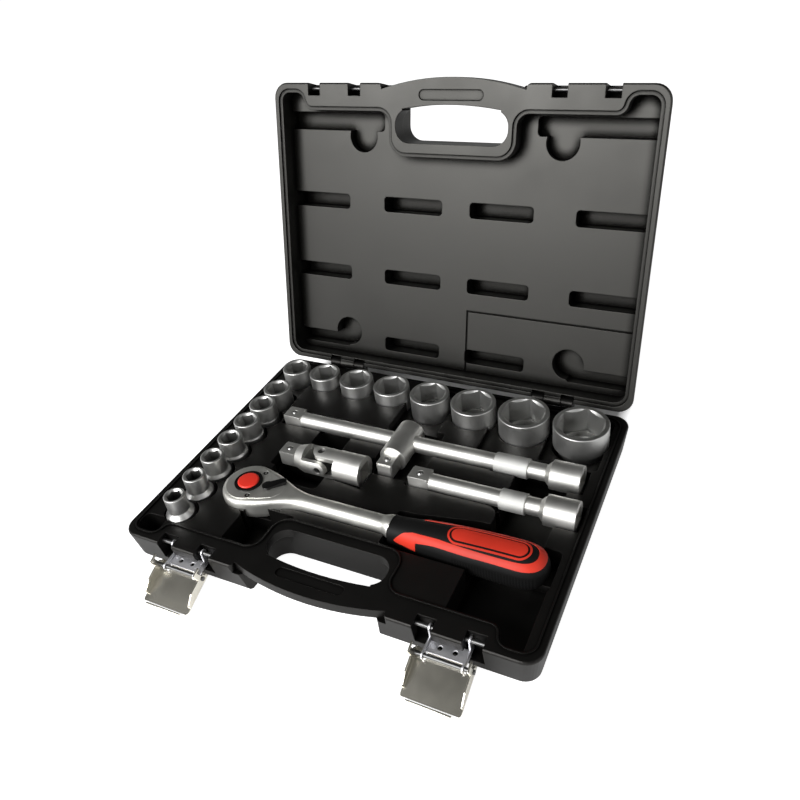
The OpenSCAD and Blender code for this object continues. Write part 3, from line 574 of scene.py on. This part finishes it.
class Workshop:
    """Makes pieces in mesh code and puts them on their bodies with their finishes."""

    FLAT = math.radians(0.4)
    SHARP = math.radians(30.0)

    def __init__(self, frame: dict[str, dict],
                 finishes: dict[Slot | Extra, bpy.types.Material]) -> None:
        """Keeps the frame and its finishes.

        Args:
            finishes: Materials by slot.
        """
        self.nodes = frame["nodes"]
        self.finishes = finishes
        record = frame["record"]
        self.slots = {entry["node"]: Slot(entry["material_slot"]) for entry in record["subparts"]}
        self.bodies = {node: body for body, nodes in record["behaviour"]["bodies"].items()
                       for node in nodes}

    def merged(self, node: str) -> bmesh.types.BMesh:
        """Copies a CAD node with its doubles merged and its flat faces joined.

        Args:
            node: The node's name.

        Returns:
            The merged copy.
        """
        bm = bmesh.new()
        bm.from_mesh(self.nodes[node].data)
        bmesh.ops.remove_doubles(bm, verts=bm.verts, dist=WELD)
        bmesh.ops.dissolve_limit(bm, angle_limit=self.FLAT, verts=bm.verts, edges=bm.edges)
        return bm

    @classmethod
    def soften(cls, bm: bmesh.types.BMesh, width: float, segments: int = 2) -> None:
        """Rounds the sharp outer edges, so that nothing grows.

        Args:
            bm: The mesh.
            width: How far the rounding reaches.
            segments: Steps of the rounding.
        """
        sharp = [e for e in bm.edges if len(e.link_faces) == 2 and e.is_convex
                 and e.calc_face_angle(0.0) > cls.SHARP and e.calc_length() > 0.4 * width]
        bmesh.ops.bevel(bm, geom=sharp, offset=width, offset_type="OFFSET", segments=segments,
                        profile=0.5, affect="EDGES", clamp_overlap=False, material=-1)

    def piece(self, name: str, bm: bmesh.types.BMesh, *nodes: str, slot: Slot | None = None,
              crease: float = 32.0, body: str | None = None, finish: Extra | None = None) -> None:
        """Turns a mesh into a piece that rides with its nodes and stands for them.

        Args:
            name: The piece's name.
            bm: Its mesh, which is freed.
            *nodes: The CAD nodes it replaces; the first gives its body and finish.
            slot: A finish other than the first node's.
            crease: Edges sharper than this stay sharp, in degrees.
            body: The body it rides on, where it replaces no node.
            finish: A finish unlike its slot's.
        """
        for face in bm.faces:
            face.smooth = True
        for edge in bm.edges:
            edge.smooth = len(edge.link_faces) == 2 and edge.calc_face_angle(0.0) < math.radians(crease)
        mesh = bpy.data.meshes.new(name)
        bm.to_mesh(mesh)
        bm.free()
        item = bpy.data.objects.new(name, mesh)
        bpy.context.scene.collection.objects.link(item)
        slot = slot or self.slots[nodes[0]]
        mesh.materials.append(self.finishes[finish or slot])
        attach(item, body or self.bodies[nodes[0]])
        if nodes:
            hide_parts(*nodes)
        LOG.info("%s: %d faces on %s", name, len(mesh.polygons), body or self.bodies[nodes[0]])

    def rounded_copy(self, name: str, node: str, width: float, finish: Extra | None = None) -> None:
        """Replaces a node by its own smooth copy with rounded edges.

        Args:
            name: The piece's name.
            node: The node.
            width: How far the rounding reaches, or 0 for parts that turn in one another.
            finish: A finish unlike its slot's.
        """
        bm = self.merged(node)
        if width:
            self.soften(bm, width)
        self.piece(name, bm, node, crease=20.0, finish=finish)


@dataclass
class SocketRow:
    """The fifteen sockets, turned from a profile and broached."""

    shop: Workshop
    sizes: tuple[int, ...] = (10, 11, 12, 13, 14, 15, 16, 17, 19, 21, 22, 24, 27, 30, 32)
    square: float = 12.8 * MM
    square_deep: float = 16.0 * MM
    small_end: float = 11.0 * MM
    wide_end_high: float = 24.0 * MM
    narrow_end_below: float = 22.0 * MM
    rim: float = 0.8 * MM
    lead: float = 1.6 * MM
    steps: int = 96

    def profile(self, size: int, high: float) -> list[tuple[float, float]]:
        """Draws half a socket's section.

        Args:
            size: Its hexagon across flats in millimetres.
            high: Its height.

        Returns:
            Radius and height of each ring, once round the wall.
        """
        wall = (1.18 * size + 4.2) / 2 * MM
        if size <= 15:
            drive = self.small_end
        elif size <= 24:
            drive = wall - 0.4 * MM
        else:
            drive = (15 + 0.3 * (size - 27)) * MM
        floor = high - (0.45 * size + 6) * MM
        bore = max((size / 2 - 0.8) * MM, 3.2 * MM)
        if drive > wall:
            neck, wide = self.wide_end_high - (drive - wall), self.wide_end_high
        else:
            neck = high - self.narrow_end_below
            wide = high - 21.6 * MM + 0.6 * (wall - drive)
        rim = self.rim
        outer = [(drive - rim, 0.0), (drive - 0.23 * MM, 0.23 * MM), (drive, rim),
                 (drive, rim + 0.4 * MM), (drive, neck - 0.7 * MM), (drive, neck - 0.3 * MM)]
        if drive > wall:
            outer += [(drive - 0.25 * MM, neck), (wall + 0.25 * MM, wide - 0.1 * MM)]
        outer += [(wall, wide + 0.4 * MM), (wall, wide + 0.9 * MM), (wall, high - rim - 0.4 * MM),
                  (wall, high - rim)]
        turns = [math.radians(a) for a in (22.5, 45.0, 67.5, 90.0)]
        outer += [(wall - rim * (1 - math.cos(a)), high - rim * (1 - math.sin(a))) for a in turns]
        flat, cone = size / 2 * MM, size / 2 * MM + self.lead
        return outer + [(cone, high), (cone - 0.4 * MM, high - 1.0 * MM), (flat, floor), (bore, floor),
                        (bore, self.square_deep), (self.square / 2, self.square_deep),
                        (self.square / 2, 0.0)]

    def shape(self, size: int) -> bmesh.types.BMesh:
        """Spins the section and draws its bores to a hexagon and a square.

        Args:
            size: The hexagon across flats in millimetres.

        Returns:
            The socket, standing where its node stands.
        """
        low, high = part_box(f"socket_{size}")
        tall = high.z - low.z
        rings = self.profile(size, tall)
        marks = len(rings)
        bm = bmesh.new()
        layer = bm.verts.layers.int.new("ring")
        line = [bm.verts.new((r, 0.0, z)) for r, z in rings]
        ties = [bm.edges.new((a, b)) for a, b in zip(line, line[1:] + line[:1])]
        for number, vert in enumerate(line):
            vert[layer] = number
        bmesh.ops.spin(bm, geom=line + ties, cent=(0, 0, 0), axis=(0, 0, 1), angle=2 * math.pi,
                       steps=self.steps, use_merge=True)
        flat, cone = size / 2 * MM, size / 2 * MM + self.lead
        for vert in bm.verts:
            ring = vert[layer] - marks
            turn = math.degrees(math.atan2(vert.co.y, vert.co.x))
            hexagon = flat / math.cos(math.radians((turn - 90.0) % 60.0 - 30.0))
            square = self.square / 2 / math.cos(math.radians((turn - 45.0) % 90.0 - 45.0))
            wide, height = math.hypot(vert.co.x, vert.co.y), vert.co.z
            scale = 1.0 / wide
            if ring == -7:
                wide = max(cone, hexagon)
            elif ring == -6:
                wide, height = hexagon, tall - max(0.0, cone - hexagon)
            elif ring == -5:
                wide = hexagon
            elif ring in (-1, -2):
                wide = square
            vert.co = Vector((vert.co.x * wide * scale, vert.co.y * wide * scale, height))
        bmesh.ops.remove_doubles(bm, verts=bm.verts, dist=WELD)
        bmesh.ops.recalc_face_normals(bm, faces=bm.faces)
        bmesh.ops.translate(bm, verts=bm.verts, vec=((low.x + high.x) / 2, (low.y + high.y) / 2, low.z))
        return bm

    def build(self) -> None:
        """Makes every socket."""
        for size in self.sizes:
            self.shop.piece(f"turned_socket_{size}", self.shape(size), f"socket_{size}")


def through(spots: tuple[tuple[float, float], ...], x: float) -> float:
    """Runs a smooth curve through spots given in millimetres.

    Args:
        spots: Pairs of place and value, in rising order of place.
        x: The place, in metres.

    Returns:
        The value there, in metres.
    """
    x = min(max(x / MM, spots[0][0]), spots[-1][0])
    number = max(i for i in range(len(spots) - 1) if spots[i][0] <= x)
    (x0, y0), (x1, y1) = spots[number], spots[number + 1]
    before, after = spots[max(0, number - 1)], spots[min(len(spots) - 1, number + 2)]
    part, wide = (x - x0) / (x1 - x0), x1 - x0
    lean0 = (y1 - before[1]) / (x1 - before[0]) * wide
    lean1 = (after[1] - y0) / (after[0] - x0) * wide
    p2, p3 = part * part, part ** 3
    return ((2 * p3 - 3 * p2 + 1) * y0 + (p3 - 2 * p2 + part) * lean0
            + (3 * p2 - 2 * p3) * y1 + (p3 - p2) * lean1) * MM


@dataclass
class Grip:
    """The two-colour handle: a waisted, crowned body, a band with a thumb patch, and an oval frame.

    The band's and the patch's edges are pairs of distance from the shank and height over the axis, in
    millimetres.
    """

    shop: Workshop
    start: Vector = field(default_factory=lambda: Vector((31.0, -48.5, 25.5)) * MM)
    length: float = 112.0 * MM
    widest: float = 14.7 * MM
    neck: float = 8.8 * MM
    skin: float = 0.35 * MM
    band_top: tuple[tuple[float, float], ...] = (
        (6.0, 0.5), (8.4, 3.6), (12.6, 6.9), (17.0, 8.1), (22.0, 9.0), (30.0, 9.8), (50.0, 10.3),
        (80.0, 10.7), (112.0, 10.9))
    thumb_foot: tuple[tuple[float, float], ...] = (
        (6.0, 0.2), (8.2, -1.0), (12.6, -1.8), (17.4, -2.4), (23.0, -3.3))
    band_foot: tuple[tuple[float, float], ...] = (
        (23.0, 4.2), (31.5, 5.8), (40.0, 6.6), (60.0, 7.0), (80.0, 7.5), (112.0, 7.0))
    thumb_end: float = 23.0 * MM
    back_start: float = 23.0 * MM
    oval_half: float = 20.5 * MM
    oval_wide: float = 7.4 * MM
    oval_middle: float = 71.9 * MM
    dome: float = 24.0 * MM
    flare: float = 1.1 * MM
    flare_reach: float = 3.5 * MM
    rib_start: float = 50 * MM
    rib_end: float = 106 * MM
    rib_top: float = 2.5 * MM
    rib_pitch: float = 2.0 * MM
    rib_share: float = 0.03
    rings: int = 240
    around: int = 72
    band_cells: tuple[int, int] = (420, 12)
    frame_cells: tuple[int, int] = (180, 6)
    field_cells: tuple[int, int] = (90, 24)
    weld: float = 0.000004

    def radius(self, along: float) -> float:
        """Gives the body's half-width.

        Args:
            along: Distance from the shank end.

        Returns:
            The half-width there.
        """
        swell = self.length - self.dome
        if along < swell:
            part = max(0.0, (swell - along) / swell)
            flare = self.flare * math.exp(-along / self.flare_reach)
            return self.widest - (self.widest - self.neck) * part ** 2.0 + flare
        part = min(1.0, (along - swell) / (self.length - swell))
        return self.widest * math.sqrt(max(0.0, 1.0 - part ** 3.2))

    def crown(self, along: float, side: float) -> float:
        """Gives the height of the top over the axis.

        Args:
            along: Distance from the shank end.
            side: Distance from the middle, across.

        Returns:
            The height.
        """
        wide = max(self.radius(along), 0.02 * MM)
        power, tall = self.section(1.0)
        part = min(1.0, abs(side) / wide)
        return tall * wide * (1.0 - part ** power) ** (1 / power)

    def sized(self, along: float, turn: float) -> Vector:
        """Places a point of the body.

        Args:
            along: Distance from the shank end.
            turn: Angle round the axis, 0 to the back and 90 up, in degrees.

        Returns:
            The point, from the start of the grip.
        """
        wide = self.radius(along)
        angle = math.radians(turn)
        power, tall = self.section(math.sin(angle))
        across = math.copysign(abs(math.cos(angle)) ** (2 / power), math.cos(angle))
        up = math.copysign(abs(math.sin(angle)) ** (2 / power), math.sin(angle)) * tall
        return Vector((along, wide * across, wide * up))

    @staticmethod
    def section(up: float) -> tuple[float, float]:
        """Gives how square and how tall the section is, over and under the axis."""
        return (2.3, 0.9) if up > 0 else (2.9, 1.0)

    def body(self) -> bmesh.types.BMesh:
        """Bends a grid into the body, ribbed underneath.

        Returns:
            The body's mesh.
        """
        bm = sheet(self.rings, self.around)
        for vert in bm.verts:
            part, turn = vert.co.x + 0.5, 360.0 * (vert.co.y + 0.5)
            along = self.length * part
            spot = self.sized(along, turn)
            if self.rib_start < along < self.rib_end and spot.z < self.rib_top:
                fade = min(1.0, (self.rib_top - spot.z) / (1 * MM))
                wave = 0.5 - 0.5 * math.cos(2 * math.pi * along / self.rib_pitch)
                spot.y *= 1.0 - self.rib_share * wave * fade
                spot.z *= 1.0 - self.rib_share * wave * fade
            if part < 0.0001 or part > 0.9999:
                spot = Vector((spot.x, 0.0, 0.0))
            vert.co = self.start + spot
        bmesh.ops.remove_doubles(bm, verts=bm.verts, dist=self.weld)
        bmesh.ops.recalc_face_normals(bm, faces=bm.faces)
        return bm

    def outline(self, share: float, up: float) -> Vector:
        """Follows the body's side at one height, from the front round the end to the back.

        Args:
            share: From -1 at the front of the shank end to 1 at its back.
            up: Height over the axis.

        Returns:
            The point, from the start of the grip.
        """
        low, high = 0.0, self.length
        for _ in range(30):
            middle = (low + high) / 2
            if middle < self.length * 0.7 or self.reach(middle, up) > 0.0:
                low = middle
            else:
                high = middle
        near = self.band_top[0][0] * MM if share < 0 else self.back_start
        along = near + (low - near) * math.cos(math.radians(90.0 * share))
        return Vector((along, math.copysign(self.reach(along, up), share), up))

    def reach(self, along: float, up: float) -> float:
        """Gives the body's half-width at one height.

        Args:
            along: Distance from the shank end.
            up: Height over the axis.

        Returns:
            The half-width.
        """
        wide = max(self.radius(along), 0.001 * MM)
        power, tall = self.section(up)
        part = min(1.0, abs(up) / (wide * tall))
        return wide * (1.0 - part ** power) ** (1 / power)

    def band(self) -> bmesh.types.BMesh:
        """Makes the band round the sides and the end, with a patch for the thumb.

        Returns:
            The band's mesh.
        """
        bm = sheet(*self.band_cells)
        for vert in bm.verts:
            share, part = 2.0 * vert.co.x, vert.co.y + 0.5
            along = self.outline(share, 0.0).x
            side = self.radius(min(along, self.length - 14 * MM))
            high = min(through(self.band_top, along), 0.78 * side)
            if share < 0 and along < self.thumb_end:
                low = through(self.thumb_foot, along)
            else:
                low = through(self.band_foot, along)
            if share > 0:
                low = high - (high - low) * min(1.0, (along - self.back_start) / (9 * MM) + 0.05)
            vert.co = self.start + self.outline(share, low + (high - low) * part)
        bmesh.ops.recalc_face_normals(bm, faces=bm.faces)
        self.raise_skin(bm)
        return bm

    def raise_skin(self, bm: bmesh.types.BMesh) -> None:
        """Gives a sheet that lies on the body its thickness, standing a little proud.

        Args:
            bm: The sheet.
        """
        bm.normal_update()
        face = max(bm.faces, key=lambda f: f.calc_area())
        middle = face.calc_center_median() - self.start
        if face.normal.dot(Vector((0.0, middle.y, middle.z))) < 0:
            bmesh.ops.reverse_faces(bm, faces=bm.faces)
            bm.normal_update()
        for vert in bm.verts:
            vert.co += vert.normal * self.skin
        bmesh.ops.solidify(bm, geom=bm.faces, thickness=0.9 * MM)
        bmesh.ops.recalc_face_normals(bm, faces=bm.faces)

    def frame(self) -> bmesh.types.BMesh:
        """Makes the plain oval frame on the crown.

        Returns:
            The frame's mesh.
        """
        bm = sheet(*self.frame_cells)
        half, wide = self.oval_half, self.oval_wide
        curve = math.pi * wide
        whole = 2 * curve + 4 * half
        for vert in bm.verts:
            far = (vert.co.x + 0.5) * whole
            grow = wide + vert.co.y * 1.3 * MM
            if far < 2 * half:
                x, y = far - half, grow
            elif far < 2 * half + curve:
                a = (far - 2 * half) / wide
                x, y = half + grow * math.sin(a), grow * math.cos(a)
            elif far < 4 * half + curve:
                x, y = half - (far - 2 * half - curve), -grow
            else:
                a = (far - 4 * half - curve) / wide
                x, y = -half - grow * math.sin(a), -grow * math.cos(a)
            x += self.oval_middle
            vert.co = self.start + Vector((x, y, self.crown(x, y)))
        bmesh.ops.remove_doubles(bm, verts=bm.verts, dist=self.weld)
        bmesh.ops.recalc_face_normals(bm, faces=bm.faces)
        self.raise_skin(bm)
        return bm

    def field(self) -> bmesh.types.BMesh:
        """Makes the bare oval field inside the frame.

        Returns:
            The field's mesh.
        """
        bm = sheet(*self.field_cells, half=1.0)
        wide = self.oval_wide - 2.1 * MM
        for vert in bm.verts:
            up = math.sin(math.radians(90.0 * vert.co.y))
            half = self.oval_half + wide * math.sqrt(max(0.0, 1.0 - up * up))
            x, y = self.oval_middle + vert.co.x * half, wide * up
            vert.co = self.start + Vector((x, y, self.crown(x, y)))
        bmesh.ops.recalc_face_normals(bm, faces=bm.faces)
        self.raise_skin(bm)
        return bm

    def build(self) -> None:
        """Makes the grip's pieces."""
        self.shop.piece("grip_body", self.body(), "grip_core", crease=60.0)
        self.shop.piece("grip_band", self.band(), "grip_inlay")
        self.shop.piece("grip_oval_frame", self.frame(), slot=Slot.BAND, body="ratchet")
        self.shop.piece("grip_oval_field", self.field(), slot=Slot.BAND, body="ratchet")


@dataclass
class RatchetHead:
    """The forged head and shank with their cover, button and lever."""

    shop: Workshop
    middle: Vector = field(default_factory=lambda: Vector((-89.0, -48.5, 0.0)) * MM)
    radius: float = 21.0 * MM
    reach: float = 121.0 * MM
    top: float = 33.35 * MM
    sole: float = 13.5 * MM
    shank_sole: float = 20.5 * MM
    lever_axis: float = 17.5 * MM
    lever_lift: float = 1.1 * MM
    cells: tuple[int, int] = (300, 56)
    weld: float = 0.00001
    waist: tuple[tuple[float, float], ...] = (
        (-6.0, 20.1), (0.0, 21.0), (6.4, 19.9), (17.0, 17.0), (29.0, 12.0), (38.0, 8.5), (48.0, 6.8),
        (60.0, 6.5), (110.0, 6.5), (115.0, 6.8), (119.0, 8.2), (121.0, 8.3))

    def half_width(self, x: float) -> float:
        """Gives the plan's half-width past the middle of the head.

        Args:
            x: Distance from the head's axis towards the grip.

        Returns:
            The half-width.
        """
        return through(self.waist, x)

    @staticmethod
    def ease(value: float, low: float, high: float) -> float:
        """Rises smoothly from 0 at low to 1 at high."""
        part = min(1.0, max(0.0, (value - low) / (high - low)))
        return part * part * (3 - 2 * part)

    def forging(self) -> bmesh.types.BMesh:
        """Bends a grid round the head and along the shank.

        Returns:
            The body's mesh.
        """
        bm = sheet(*self.cells)
        arc = math.pi * self.radius
        whole = arc + 2 * self.reach
        for vert in bm.verts:
            far, tilt = (vert.co.x + 0.5) * whole, math.pi * vert.co.y
            if far < self.reach:
                x = self.reach - far
                foot, plan = Vector((x, 0.0)), Vector((x, -self.half_width(x)))
            elif far < self.reach + arc:
                turn = (far - self.reach) / self.radius
                foot, plan = Vector((0.0, 0.0)), self.radius * Vector((-math.sin(turn), -math.cos(turn)))
            else:
                x = far - self.reach - arc
                foot, plan = Vector((x, 0.0)), Vector((x, self.half_width(x)))
            thin = self.ease(foot.x, 12 * MM, 46 * MM)
            low = self.sole + (self.shank_sole - self.sole) * thin
            boxy = 6.0 if tilt > 0 else 3.6
            square = boxy + (2.3 - boxy) * self.ease(foot.x, 20 * MM, 52 * MM)
            half = (self.top - low) / 2
            flare = 1.7 * MM * self.ease(foot.x, 112 * MM, 119 * MM)
            out = abs(math.cos(tilt)) ** (2 / square)
            up = math.copysign(abs(math.sin(tilt)) ** (2 / square), tilt)
            spot = foot + (plan - foot) * out
            vert.co = self.middle + Vector((spot.x, spot.y, low + half + (half + flare) * up))
        bmesh.ops.remove_doubles(bm, verts=bm.verts, dist=self.weld)
        bmesh.ops.holes_fill(bm, edges=[e for e in bm.edges if e.is_boundary], sides=0)
        bmesh.ops.recalc_face_normals(bm, faces=bm.faces)
        return bm

    def lever(self) -> bmesh.types.BMesh:
        """Lifts the lever's thumb end and rounds it.

        Returns:
            The lever's mesh.
        """
        bm = self.shop.merged("reversing_lever")
        low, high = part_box("reversing_lever")
        hinge = self.middle + Vector((self.lever_axis, 0.0, 0.0))
        for vert in bm.verts:
            if vert.co.z > high.z - 0.1 * MM:
                away = (vert.co.xy - hinge.xy).length
                vert.co.z += self.lever_lift * self.ease(away, 5 * MM, 12 * MM)
        self.shop.soften(bm, 0.45 * MM, segments=3)
        return bm

    def build(self) -> None:
        """Makes the head's pieces."""
        self.shop.piece("forged_ratchet", self.forging(), "ratchet_body", crease=50.0)
        self.shop.piece("direction_lever", self.lever(), "reversing_lever", crease=30.0)
        for name, node, width in (("cover_plate", "ratchet_cover", 0.25 * MM),
                                  ("button_ring", "button_bezel", 0.15 * MM),
                                  ("push_button", "release_button", 0.3 * MM)):
            self.shop.rounded_copy(name, node, width)


@dataclass
class Knurl:
    """A band of fine diamond knurling round a bar."""

    shop: Workshop
    radius: float = 7.43 * MM
    depth: float = 0.4 * MM
    pitch: float = 1.16 * MM
    fade: float = 0.4 * MM
    sink: float = 0.5 * MM
    steps: int = 5

    def sleeve(self, start: Vector, length: float) -> bmesh.types.BMesh:
        """Bends a grid into a knurled sleeve with its ends sunk into the bar.

        Args:
            start: The middle of the band's first end.
            length: The band's length.

        Returns:
            The sleeve's mesh.
        """
        rounds = round(2 * math.pi * self.radius / self.pitch)
        bm = sheet(round(length / self.pitch * self.steps), rounds * self.steps)
        for vert in bm.verts:
            far, turn = (vert.co.x + 0.5) * length, 2 * math.pi * vert.co.y
            lean = 2 * math.pi * far / self.pitch
            peak = (1 + math.cos(rounds * turn + lean)) * (1 + math.cos(rounds * turn - lean)) / 4
            edge = min(1.0, min(far, length - far) / self.fade)
            high = self.radius - self.sink * (1 - edge) + self.depth * peak * edge
            vert.co = start + Vector((far, high * math.sin(turn), high * math.cos(turn)))
        bmesh.ops.remove_doubles(bm, verts=bm.verts, dist=WELD)
        bmesh.ops.recalc_face_normals(bm, faces=bm.faces)
        return bm

    def build(self) -> None:
        """Makes both bars' bands."""
        for name, body, start, length in (
                ("long_bar_knurl", "long_bar", Vector((76.5, 35.6, 28.0)) * MM, 26 * MM),
                ("short_bar_knurl", "short_bar", Vector((93.0, 0.5, 28.0)) * MM, 19 * MM)):
            self.shop.piece(name, self.sleeve(start, length), slot=Slot.TOOL, body=body, crease=180.0,
                            finish=Extra.KNURL)


def main() -> None:
    """Builds the scene."""
    logging.basicConfig(level=logging.INFO, format="%(message)s")
    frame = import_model()
    Studio().build()
    finishes = Finishes().build()
    shop = Workshop(frame, finishes)
    for name, node in frame["nodes"].items():
        for entry in node.material_slots:
            entry.material = finishes[shop.slots[name]]
    SocketRow(shop).build()
    Grip(shop).build()
    RatchetHead(shop).build()
    Knurl(shop).build()
    for name, node, width, *finish in SOFTENED:
        shop.rounded_copy(name, node, width, *finish)


if __name__ == "__main__":
    main()
